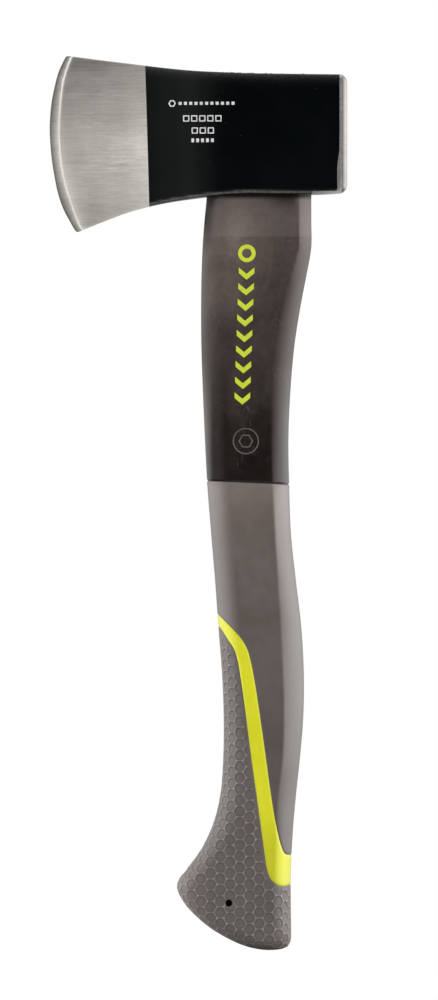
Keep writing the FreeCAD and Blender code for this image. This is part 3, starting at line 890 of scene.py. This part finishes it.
# painted shade and light: nearly black low on the jacket, paler up towards the head
JACKET_BY_SLANT = [
    (-118, 0.19), (-106, 0.16), (-94, 0.27), (-76, 0.52), (-50, 0.62), (-24, 1.0), (-6, 1.2), (10, 1.0)]
SLEEVE_BY_HEIGHT = [(-260, 0.76), (-215, 0.82), (-180, 0.94), (-140, 1.02), (-116, 1.32)]
BAND_BY_HEIGHT = [(-275, 0.80), (-262, 0.84), (-246, 1.0), (-160, 1.0)]
GRIP_BY_HEIGHT = [(-301, 1.25), (-293, 1.08), (-285, 1.0), (-160, 1.0)]
GRIP_BY_LENGTH = [(-33, 1.8), (-25, 1.3), (-17, 1.0), (6, 1.0), (12, 0.86)]

STEEL = steel(
    "ground_steel", (0.60, 0.555, 0.51), (0.93, 0.885, 0.83), 0.46, BLADE_BY_HEIGHT, BLADE_BY_LENGTH)
POLL_STEEL = steel("poll_steel", (0.34, 0.32, 0.31), (0.52, 0.50, 0.49), 0.34, POLL_BY_HEIGHT, POLL_BY_LENGTH)
ENAMEL = enamel()
NYLON = jacket_material()
RUBBED = moulded("rubbed_nylon", (0.085, 0.072, 0.066), (0.16, 0.145, 0.135), 0.5, 0.4, 0.3)
GREY = moulded(
    "grey_rubber", (0.102, 0.083, 0.074), (0.128, 0.108, 0.098), 0.34, 0.6, 0.2, SLEEVE_BY_HEIGHT, edge=0.6)
GRIP = moulded(
    "grip_rubber", (0.094, 0.078, 0.071), (0.118, 0.101, 0.093), 0.50, 0.5, 0.3,
    GRIP_BY_HEIGHT, GRIP_BY_LENGTH, ridge=(0.34, 0.31, 0.29))
LIME = moulded(
    "lime_rubber", (0.60, 0.60, 0.007), (0.68, 0.67, 0.014), 0.40, 0.6, 0.2, BAND_BY_HEIGHT, edge=0.3)
LIME_INK = print_material("lime_print", (0.56, 0.66, 0.03), 0.85)
WHITE_INK = print_material("white_print", (0.72, 0.72, 0.70), 0.7)
RESIN = resin_material()
ROD = glass_rod_material()

# ---------------------------------------------------------------- handle pieces


def edge_share(points, spots, left):
    """1 at the parting line, 0 on the flat panel."""
    return {"edge": np.clip(1 - left / 11.0, 0, 1)}


def jacket_relief(points, spots, left):
    return lip(-below_seam(spots), 0.28, 0.45)


def sleeve_relief(points, spots, left):
    return lip(below_seam(spots), 0.42, 0.35, 0.12, 0.9) + lip(above_upper(spots), 0.2, 0.3)


def band_relief(points, spots, left):
    return 0.05 + lip(-above_upper(spots), 0.25, 0.3) + lip(above_lower(spots), 0.25, 0.3)


def hex_measure(points):
    """Distance from the nearest pad's centre, half round and half hexagonal; about 2.2 on the ridges."""
    column = np.round(points[:, 0] / HEX_COLUMN)
    best = np.full(len(points), FAR)
    for step in (-1, 0, 1):
        c = column + step
        shift = np.where(np.mod(c, 2) > 0.5, HEX_ROW / 2, 0.0)
        row = np.round((points[:, 1] - shift) / HEX_ROW)
        dx = np.abs(points[:, 0] - c * HEX_COLUMN)
        dz = np.abs(points[:, 1] - shift - row * HEX_ROW)
        hexed = np.maximum(dz, dx * 0.8660 + dz * 0.5)
        best = np.minimum(best, 0.55 * hexed + 0.45 * np.hypot(dx, dz))
    return best


def honeycomb_share(spots, left):
    """1 where the honeycomb is full; it fades at the band and the parting line, most at the bottom."""
    bottom = np.clip((-272 - spots[:, 2]) / 10, 0, 1)
    at_rim = smoothstep(left, 0.6 + 2.6 * bottom, 3.0 + 2.6 * bottom)
    return smoothstep(-above_lower(spots), 0.9, 2.0) * at_rim


def grip_relief(points, spots, left):
    hole = outside_hole(spots)
    ridges = smoothstep(hex_measure(points), 1.74, 2.14) * smoothstep(hole, 0.7, 1.6)
    ridges = ridges * honeycomb_share(spots, left) * 0.27
    return ridges + lip(-above_lower(spots), 0.25, 0.3) + lip(hole, 0.3, 0.35, 0.15, 0.8)


def grip_marks(points, spots, left):
    """Attributes that the grip's material reads: crests painted lighter, for wear and a painted highlight,
    and painted shade in dark lines at the foot of the ridges.
    """
    share = honeycomb_share(spots, left)
    crest = smoothstep(hex_measure(points), 1.98, 2.40)
    groove = 0.8 * np.exp(-((hex_measure(points) - 1.72) / 0.16) ** 2)
    return {"ridge": crest * share, "groove": groove * share, **edge_share(points, spots, left)}


def hole_shade_film(mesh):
    """A thin disc across the hole at the parting line: a sheet that closes the hole so it shows dark,
    standing in for the shade inside it.
    """
    bm = bmesh.new()
    bm.from_mesh(mesh)
    radius = (HOLE_RADIUS + 0.06) * MM
    depth = 0.6 * MM
    made = bmesh.ops.create_cone(bm, cap_ends=True, segments=32, radius1=radius, radius2=radius, depth=depth)
    for v in made["verts"]:
        v.co = Vector((HOLE[0] * MM + v.co.x, v.co.z, HOLE[1] * MM - v.co.y))
    bm.to_mesh(mesh)
    bm.free()


handle_piece(
    "jacket", "handle_body", NYLON, (-33.0, -120.0), (33.0, 3.0), (0.55, 0.55),
    [(below_top, 1, ()), (below_seam, -1, (0.3, 0.8))], jacket_relief, edge_share)
handle_piece(
    "sleeve", "smooth_sleeve", GREY, (-33.0, -268.0), (33.0, -110.0), (0.55, 0.55),
    [(below_seam, 1, (0.3, 0.8)), (above_upper, 1, (0.35,))], sleeve_relief, edge_share)
handle_piece(
    "lime_band", "accent_band", LIME, (-33.0, -280.0), (33.0, -155.0), (0.5, 0.5),
    [(above_upper, -1, (0.35,)), (above_lower, 1, (0.35,))], band_relief, edge_share)
grip = handle_piece(
    "honeycomb_grip", "textured_grip", GRIP, (-42.0, -314.0), (24.0, -155.0),
    (HEX_COLUMN / 12, HEX_ROW / 14),
    [(above_lower, -1, (0.35,)), (outside_hole, 1, ())], grip_relief, grip_marks)
hole_shade_film(grip.data)

# ---------------------------------------------------------------- the head's shape

POLL = 35.0
HEAD_HEIGHT = 47.5
TAPER_START = -14.0
BEVEL_HALF = 1.15
EDGE_HALF = 0.12
EYE_WIDTH = (15.0, 17.0)  # at the underside and at the top
EYE_LENGTH = (38.0, 41.0)
EYE_REACH = 21.0
HEAD_TOP = [
    (-75.8, 55.1), (-61.0, 53.1), (-52.0, 52.0), (-45.0, 51.1), (-36.0, 50.0), (-26.0, 49.0), (-15.0, 48.4),
    (-4.0, 48.0), (14.0, 47.7), (31.8, HEAD_HEIGHT),
]
HEAD_LOW = [
    (31.8, 0.5), (24.0, 0.05), (8.0, 0.0), (-8.0, 0.0), (-22.6, -1.25), (-38.5, -3.7), (-51.2, -6.9),
    (-64.0, -11.7), (-71.4, -14.75),
]
EDGE = [
    (-73.4, -14.1), (-74.8, -11.7), (-78.1, -5.4), (-80.2, 1.0), (-81.5, 7.4), (-82.5, 13.7), (-83.1, 20.1),
    (-83.35, 27.0), (-82.7, 36.0), (-81.5, 42.4), (-79.8, 48.8), (-77.4, 54.0),
]
EDGE_X = [(-66.0, -26.0), (-70.5, -19.5)] + EDGE + [(-74.0, 60.0), (-71.0, 66.0)]
BEVEL_X = [
    (-64.0, -26.0), (-68.0, -19.5), (-70.6, -13.8), (-72.9, -8.4), (-75.0, -2.4), (-77.1, 4.8), (-78.5, 11.9),
    (-79.3, 20.0), (-79.45, 27.4), (-78.9, 37.0), (-77.7, 45.5), (-76.0, 51.0), (-74.4, 55.0), (-71.8, 60.0),
    (-68.6, 66.0),
]
PAINT_X = [(-43.4, -20.0), (-43.7, -5.0), (-44.5, 24.0), (-45.3, 50.0), (-45.6, 60.0)]
# (share of the way from the taper's start to the bevel, half thickness)
TAPER = [
    (-0.4, 12.5), (-0.2, 12.5), (-0.04, 12.5), (0.05, 12.1), (0.15, 10.9), (0.3, 8.3), (0.48, 5.6),
    (0.72, 3.3), (0.9, 1.75), (1.0, BEVEL_HALF),
]


edge_x = along_height(EDGE_X)
bevel_x = along_height(BEVEL_X)
paint_x = along_height(PAINT_X)
TAPER_LINE = smooth_line([(100 * a, b) for a, b in TAPER], 0.5)


def arc(centre, radius, start, end):
    """Points on a circle between two angles in degrees."""
    turn = np.radians(np.linspace(start, end, 9))
    return np.column_stack([centre[0] + radius * np.cos(turn), centre[1] + radius * np.sin(turn)])


def head_outline():
    """Counter-clockwise from the toe's top corner: the edge, the underside, the poll and the top."""
    edge = smooth_line(EDGE[::-1], 0.5)
    heel = np.array([(-72.9, -14.75), (-72.2, -15.0)])
    low = smooth_line(HEAD_LOW[::-1], 0.7)
    low_corner = arc((POLL - 3.2, 3.7), 3.2, -90, 0)[1:]
    top_corner = arc((POLL - 3.2, 44.3), 3.2, 0, 90)[:-1]
    side = np.column_stack([np.full(50, POLL), np.linspace(4.6, 43.4, 50)])
    top = smooth_line(HEAD_TOP[::-1], 0.7)
    toe = np.array([(-76.4, 55.05), (-76.9, 54.75)])
    return np.vstack([edge, heel, low, low_corner, side, top_corner, top, toe])


def even(loop, step):
    """The closed loop again with even spacing."""
    closed = np.vstack([loop, loop[:1]])
    s = np.concatenate([[0.0], np.cumsum(np.linalg.norm(np.diff(closed, axis=0), axis=1))])
    at = np.linspace(0, s[-1], int(s[-1] / step), endpoint=False)
    return np.column_stack([np.interp(at, s, closed[:, 0]), np.interp(at, s, closed[:, 1])])


def head_inset(loop):
    """The crease loop: the outline moved in by its rounding, which is least at the cutting edge."""
    ahead = np.roll(loop, -2, axis=0) - np.roll(loop, 2, axis=0)
    ahead /= np.linalg.norm(ahead, axis=1, keepdims=True)
    inward = np.column_stack([-ahead[:, 1], ahead[:, 0]])
    x, z = loop[:, 0], loop[:, 1]
    width = 0.15 + 0.75 * smoothstep(x - edge_x(z), 0.3, 3.0)
    width = width + 0.4 * smoothstep(x, -10.0, 20.0) * smoothstep(-z, -8.0, -4.0)
    width = width + 1.9 * smoothstep(x, POLL - 3.4, POLL - 0.4)
    for _ in range(6):
        width = (np.roll(width, 1) + 2 * width + np.roll(width, -1)) / 4
    return loop + inward * width[:, None]


def ground_share(x, z):
    """How far out on the ground bevel: 0 at its inner line, 1 at the cutting edge, negative on the blade."""
    return (bevel_x(z) - x) / np.maximum(bevel_x(z) - edge_x(z), 0.3)


class Head(Pillow):
    """The head's skin: cheeks that taper to the bevel, and a small rounding down to flat walls."""

    def half(self, points):
        x, z = points[:, 0], points[:, 1]
        share = (x - TAPER_START) / np.minimum(bevel_x(z) - TAPER_START, -1)
        cheek = np.interp(100 * share, TAPER_LINE[:, 0], TAPER_LINE[:, 1])
        ground = ground_share(x, z)
        return np.where(ground > 0, BEVEL_HALF - (BEVEL_HALF - EDGE_HALF) * np.clip(ground, 0, 1), cheek)

    def rounding(self, reach, half):
        """Depth of the edge rounding and the length of its arc."""
        deep = np.minimum(reach, half * 0.8)
        return deep, (math.pi / 2) * np.sqrt((reach ** 2 + deep ** 2) / 2)

    def rim(self, e, reach, half, weight):
        """A quarter round, then the flat wall down to the middle."""
        deep, run = self.rounding(reach, half)
        turn = np.clip(e / run, 0, 1) * math.pi / 2
        wall = np.maximum(e - run, 0)
        u = reach * np.sin(turn)
        v = half - deep * (1 - np.cos(turn)) - wall
        return u, v, run + half - deep

    def arc_share(self, points):
        """How far round the edge rounding each point is: 0 at the crease, 1 where the wall starts."""
        s, e, _ = self.foot(points)
        x, z, _ = self.at(s)
        reach = np.interp(s, self.s, self.reach)
        return e / self.rounding(reach, self.half(np.column_stack([x, z])))[1]


HEAD_LOOP = even(head_outline(), 0.45)
HEAD = Head(head_inset(HEAD_LOOP), HEAD_LOOP, lambda loop: np.zeros(len(loop)))


def eye_gap(spots, points):
    """Distance outside the eye's slot at each point's own height."""
    share = spots[:, 2] / HEAD_HEIGHT
    radius = (EYE_WIDTH[0] + (EYE_WIDTH[1] - EYE_WIDTH[0]) * share) / 2
    reach = (EYE_LENGTH[0] + (EYE_LENGTH[1] - EYE_LENGTH[0]) * share) / 2 - radius
    return np.hypot(np.maximum(np.abs(spots[:, 0]) - reach, 0), spots[:, 1]) - radius


def round_level(share):
    return lambda spots, points: HEAD.arc_share(points) - share


def before_bevel(inset):
    return lambda spots, points: bevel_x(spots[:, 2]) - spots[:, 0] + inset


def before_paint(spots, points):
    return paint_x(spots[:, 2]) - spots[:, 0]


def poll_strip(spots, points):
    """Positive on the bare poll end and along the bare corner below it."""
    bare_end = spots[:, 0] - (POLL - 3.1 - 0.9 * smoothstep(-spots[:, 2], -19.0, -10.0))
    bare_corner = np.minimum(1.1 - spots[:, 2], (spots[:, 0] - 21.0) / 6)
    return np.maximum(bare_end, bare_corner)


def head_pick(label):
    """Slots of the head's mesh: 0 blade steel, 1 enamel, 2 poll steel."""
    if "blade" in label:
        return 0
    return 2 if "poll" in label else 1


def head_solid():
    """The mirrored head with the eye's wall bridged from top to bottom."""
    sheet = Sheet((-86.0, -30.0), (50.0, 72.0), (1.0, 1.0))
    cuts = [(round_level(share), "", False) for share in (0.0, 0.25, 0.5, 0.75, 1.0)]
    cuts += [(before_bevel(inset), "", False) for inset in (0.0, 0.45, -0.45)]
    cuts += [(before_paint, "blade", False), (poll_strip, "poll", False), (eye_gap, "body", True)]
    spots, left = cut_sheet(HEAD, sheet, cuts)
    attributes = {"bevel_highlight": bevel_highlight(spots), "facet": facet_share(spots), "rim_sheen_and_dust": rim_sheen_and_dust(spots)}
    materials = [STEEL, ENAMEL, POLL_STEEL]
    obj = solid("forged_head", sheet, spots, left < ON_PARTING, materials, head_pick, attributes, sharp=False)
    bm = bmesh.new()
    bm.from_mesh(obj.data)
    lids = [f for f in bm.faces if len(f.verts) == 4 and spans_eye(f)]
    bmesh.ops.delete(bm, geom=lids, context="FACES_ONLY")
    open_edges = [e for e in bm.edges if len(e.link_faces) == 1]
    bmesh.ops.bridge_loops(bm, edges=open_edges)
    bmesh.ops.recalc_face_normals(bm, faces=bm.faces[:])
    for edge in bm.edges:
        if len(edge.link_faces) == 2:
            centre = sum((v.co for v in edge.verts), Vector()) / 2
            on_bevel = abs(centre.x / MM - float(bevel_x(centre.z / MM))) < 0.02
            edge.smooth = edge.calc_face_angle(0) < 0.7 and not on_bevel
    for face in bm.faces:
        face.smooth = True
    bm.to_mesh(obj.data)
    bm.free()
    return obj


def spans_eye(face):
    """A lid that solid() put straight across the eye."""
    ys = [v.co.y / MM for v in face.verts]
    xs = [v.co.x / MM for v in face.verts]
    near_eye = max(abs(x) for x in xs) < EYE_REACH
    return near_eye and abs(face.normal.z) > 0.8 and max(ys) > 1e-3 > -1e-3 > min(ys)


def bevel_highlight(spots):
    """Painted highlight: 1 along the inner line of the ground bevel, with a soft glow on the blade side,
    strongest low down.
    """
    away = spots[:, 0] - bevel_x(spots[:, 2])
    glow = 0.85 * np.exp(-np.maximum(away, 0) / 2.3) * (away > 0) * smoothstep(-spots[:, 2], -37.0, -5.0)
    return np.clip(np.maximum(np.exp(-((away / 0.42) ** 2)), glow), 0, 1)


def facet_share(spots):
    """The bevel's share, 0 on the blade behind it; the steel paints shade on the bevel by it."""
    return np.clip(ground_share(spots[:, 0], spots[:, 2]), 0, 1)


def rim_sheen_and_dust(spots):
    """Enamel paled by dust and a painted sheen in a soft band below the top edge, and by a painted highlight
    in a thin line along the lower rounding.
    """
    top = smooth_line(HEAD_TOP, 0.7)
    low = smooth_line(HEAD_LOW[::-1], 0.7)
    below = np.interp(spots[:, 0], top[:, 0], top[:, 1]) - spots[:, 2]
    above = spots[:, 2] - np.interp(spots[:, 0], low[:, 0], low[:, 1])
    skin = smoothstep(np.abs(spots[:, 1]) - HEAD.half(spots[:, [0, 2]]), -3.0, -1.3)
    return skin * (0.55 * np.exp(-np.maximum(below, 0) / 1.1) + np.exp(-(((above - 0.75) / 0.36) ** 2)))


head = head_solid()
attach(head, "root")
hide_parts("axe_head")

# ---------------------------------------------------------------- printed and moulded marks, all generic


def ring_shape(radius, inner, count, centre, turn=0.0):
    """A flat ring (or a polygon ring) as quads."""
    angle = np.linspace(0, 2 * math.pi, count, endpoint=False) + turn
    unit = np.column_stack([np.cos(angle), np.sin(angle)])
    outer, hole = unit * radius + centre, unit * inner + centre
    return [[outer[i], outer[(i + 1) % count], hole[(i + 1) % count], hole[i]] for i in range(count)]


def chevron_shape(x, z, width, stroke, drop):
    """A chevron that points down the handle."""
    left, right = x - width / 2, x + width / 2
    return [
        [(left, z), (left, z - stroke), (x, z - stroke - drop), (x, z - drop)],
        [(x, z - drop), (x, z - stroke - drop), (right, z - stroke), (right, z)],
    ]


def bar_shape(x, z, width, height):
    """A filled bar round its centre."""
    return [[(x - width / 2, z - height / 2), (x + width / 2, z - height / 2),
             (x + width / 2, z + height / 2), (x - width / 2, z + height / 2)]]


def mark(name, shapes, surface, lift, material):
    """Thin closed plates on the near side that stand lift mm above a flat panel."""
    bm = bmesh.new()
    for shape in shapes:
        ring = np.array(shape, float)
        level = surface(ring)
        top, low = ([bm.verts.new((x * MM, -(y + rise) * MM, z * MM)) for (x, z), y in zip(ring, level)]
                    for rise in (lift, -0.2))
        bm.faces.new(top)
        bm.faces.new(low[::-1])
        for i in range(len(ring)):
            k = (i + 1) % len(ring)
            bm.faces.new([top[k], top[i], low[i], low[k]])
    bmesh.ops.recalc_face_normals(bm, faces=bm.faces[:])
    obj = made_object(name, bm, material)
    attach(obj, "root")


lime_shapes = ring_shape(3.5, 1.9, 48, (-4.9, -23.6))
for row in range(9):
    lime_shapes += chevron_shape(-5.0 - 0.21 * row, -29.2 - 6.2 * row, 6.2, 2.3, 2.6)
mark("lime_chevrons", lime_shapes, HANDLE.half, 0.05, LIME_INK)

ROUNDEL = (-5.3, -98.2)
roundel_shapes = ring_shape(5.2, 4.75, 64, ROUNDEL) + ring_shape(2.9, 2.4, 6, ROUNDEL)
mark("moulded_roundel", roundel_shapes, HANDLE.half, 0.14, RUBBED)

white_shapes = ring_shape(1.5, 0.95, 6, (-34.6, 36.0))
for step in range(11):
    white_shapes += bar_shape(-31.4 + 2.1 * step, 36.0, 1.2, 1.2)
for first, z, count in ((-29.0, 30.0, 5), (-25.6, 25.2, 3)):
    for step in range(count):
        white_shapes += ring_shape(1.75, 1.15, 4, (first + 3.2 * step, z), math.pi / 4)
for step in range(5):
    white_shapes += bar_shape(-26.4 + 1.95 * step, 21.3, 1.1, 1.5)
mark("white_ticks", white_shapes, HEAD.half, 0.03, WHITE_INK)


DROP_SHAPE = Vector((1.3, 1.1, 0.45))


def beads(name, drops, material):
    """Small cured drops, each a squashed and bent icosphere."""
    rng = np.random.default_rng(7)
    bm = bmesh.new()
    for place, size in drops:
        made = bmesh.ops.create_icosphere(bm, subdivisions=2, radius=1.0)
        turn = rng.uniform(0, 6.28)
        for v in made["verts"]:
            wobble = 1 + 0.22 * math.sin(3 * v.co.x + turn) * math.cos(2.3 * v.co.y + turn)
            v.co = (Vector(place) + v.co * size * DROP_SHAPE * wobble) * MM
    for face in bm.faces:
        face.smooth = True
    obj = made_object(name, bm, material)
    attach(obj, "root")


def eye_residue():
    """Resin squeezed out round the top of the eye, up to the edge of either cheek."""
    rng = np.random.default_rng(11)
    top = np.array(HEAD_TOP)
    drops = []
    for _ in range(46):
        x = rng.normal(-1.0, 9.0)
        y = rng.choice([-1, 1]) * rng.uniform(8.6, 12.0)
        z = np.interp(x, top[:, 0], top[:, 1])
        drops.append(((x, y, z - 0.05), rng.uniform(0.25, 0.7)))
    return drops


beads("resin_residue", eye_residue(), RESIN)

# ---------------------------------------------------------------- carried-over CAD nodes

for node, material in (("core_rod", ROD), ("eye_epoxy", RESIN)):
    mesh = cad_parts[node].data
    if not mesh.materials:
        mesh.materials.append(material)
    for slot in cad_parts[node].material_slots:
        slot.material = material

# ---------------------------------------------------------------- stage, light and camera


def floor():
    """A pale disc under the object, plain white to the camera and matt grey to the light."""
    g = Graph("pale_floor")
    seen = g.make("ShaderNodeLightPath").outputs["Is Camera Ray"]
    glow = g.make("ShaderNodeEmission", {"Color": (1.0, 1.0, 1.0), "Strength": 1.0})
    matt = g.make("ShaderNodeBsdfDiffuse", {"Color": (0.6, 0.6, 0.6)})
    both = g.make("ShaderNodeMixShader", {0: seen, 1: matt.outputs[0], 2: glow.outputs[0]})
    g.make("ShaderNodeOutputMaterial", {"Surface": both.outputs[0]})
    bm = bmesh.new()
    bmesh.ops.create_circle(bm, cap_ends=True, cap_tris=False, segments=96, radius=0.7)
    obj = made_object("floor", bm, g.material)
    obj.location.z = CAD_BOX[0][2] - 0.0005


def sky():
    """A white room for the camera; for light, a ring of soft white that leaves both Y ends dark."""
    world = bpy.data.worlds.new("studio")
    bpy.context.scene.world = world
    n = Nodes(world)
    split = n.make("ShaderNodeSeparateXYZ", {0: n.make("ShaderNodeTexCoord").outputs["Generated"]})
    x, y = split.outputs[0], split.outputs[1]
    ring = n.math("POWER", n.minus(1.0, n.times(y, y)), 3.0)
    sides = n.times(n.math("POWER", n.math("ABSOLUTE", x), 2.3), n.plus(n.times(x, 0.22), 1.0))
    behind = n.math("MAXIMUM", y, 0.0)
    light = n.plus(n.weighted((sides, 4.0), (ring, 0.8), (behind, 0.4)), 0.015)
    seen = n.make("ShaderNodeLightPath").outputs["Is Camera Ray"]
    strength = n.plus(n.times(light, n.minus(1.0, seen)), seen)
    back = n.make("ShaderNodeBackground", {"Color": (1.0, 1.0, 1.0), "Strength": strength})
    n.make("ShaderNodeOutputWorld", {"Surface": back.outputs[0]})


CAMERA_DISTANCE = 6.0
PICTURE_HEIGHT = 0.398
PICTURE_CENTRE = (-0.01596, -0.1216)
SENSOR = 36.0


def camera():
    """A long lens square on to the near side, as the photograph shows it."""
    data = bpy.data.cameras.new("camera")
    data.sensor_fit = "AUTO"
    data.sensor_width = SENSOR
    data.lens = SENSOR * CAMERA_DISTANCE / PICTURE_HEIGHT
    data.clip_end = 200.0
    cam = bpy.data.objects.new("camera", data)
    cam.location = (PICTURE_CENTRE[0], -CAMERA_DISTANCE, PICTURE_CENTRE[1])
    cam.rotation_euler = (math.pi / 2, 0, 0)
    bpy.context.scene.collection.objects.link(cam)
    bpy.context.scene.camera = cam


floor()
sky()
camera()
bpy.context.scene.view_settings.view_transform = "Standard"
